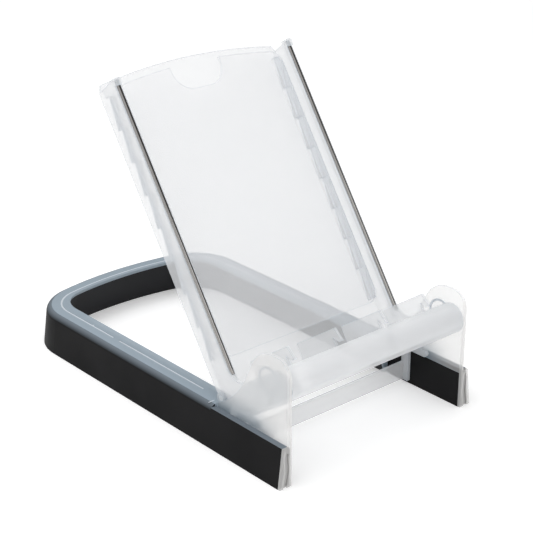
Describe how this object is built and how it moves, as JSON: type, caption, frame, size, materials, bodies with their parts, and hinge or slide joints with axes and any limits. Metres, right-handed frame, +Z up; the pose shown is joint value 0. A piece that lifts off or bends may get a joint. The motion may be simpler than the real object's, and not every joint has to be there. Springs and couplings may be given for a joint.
{
  "type": "bread slicer guide",
  "caption": "Fold-back bread slicing guide: clear leaning tray with two steel knife rods and a crumb trough, held by ears on a flat U base clad in soft black.",
  "frame": {"origin": "on the table, at the middle of the base's length and width", "axes": "+X to the right across the base, +Y to the closed rear of the base, +Z up"},
  "size_m": [0.165, 0.283, 0.2128],
  "materials": {
    "clear_plastic": "frosted, translucent",
    "black_soft": "matt, soft",
    "steel": "drawn rod"
  },
  "bodies": {
    "base": {"base_frame": "clear_plastic", "grip_skirt": "black_soft", "inner_grip": "black_soft", "crossbar": "clear_plastic"},
    "tray": {"tray": "clear_plastic", "guide_rod_left": "steel", "guide_rod_right": "steel"},
    "plate": {"thickness_plate": "clear_plastic"}
  },
  "joints": [
    {"name": "tray_fold", "type": "hinge", "parent": "base", "child": "tray", "pos_m": [0, -0.07851, 0.0335], "axis": [-1, 0, 0], "range_deg": [0, 55.5]},
    {"name": "plate_slide", "type": "slide", "parent": "tray", "child": "plate", "axis": [0, 0.4098, 0.9122], "range_m": [0, 0.017]}
  ]
}
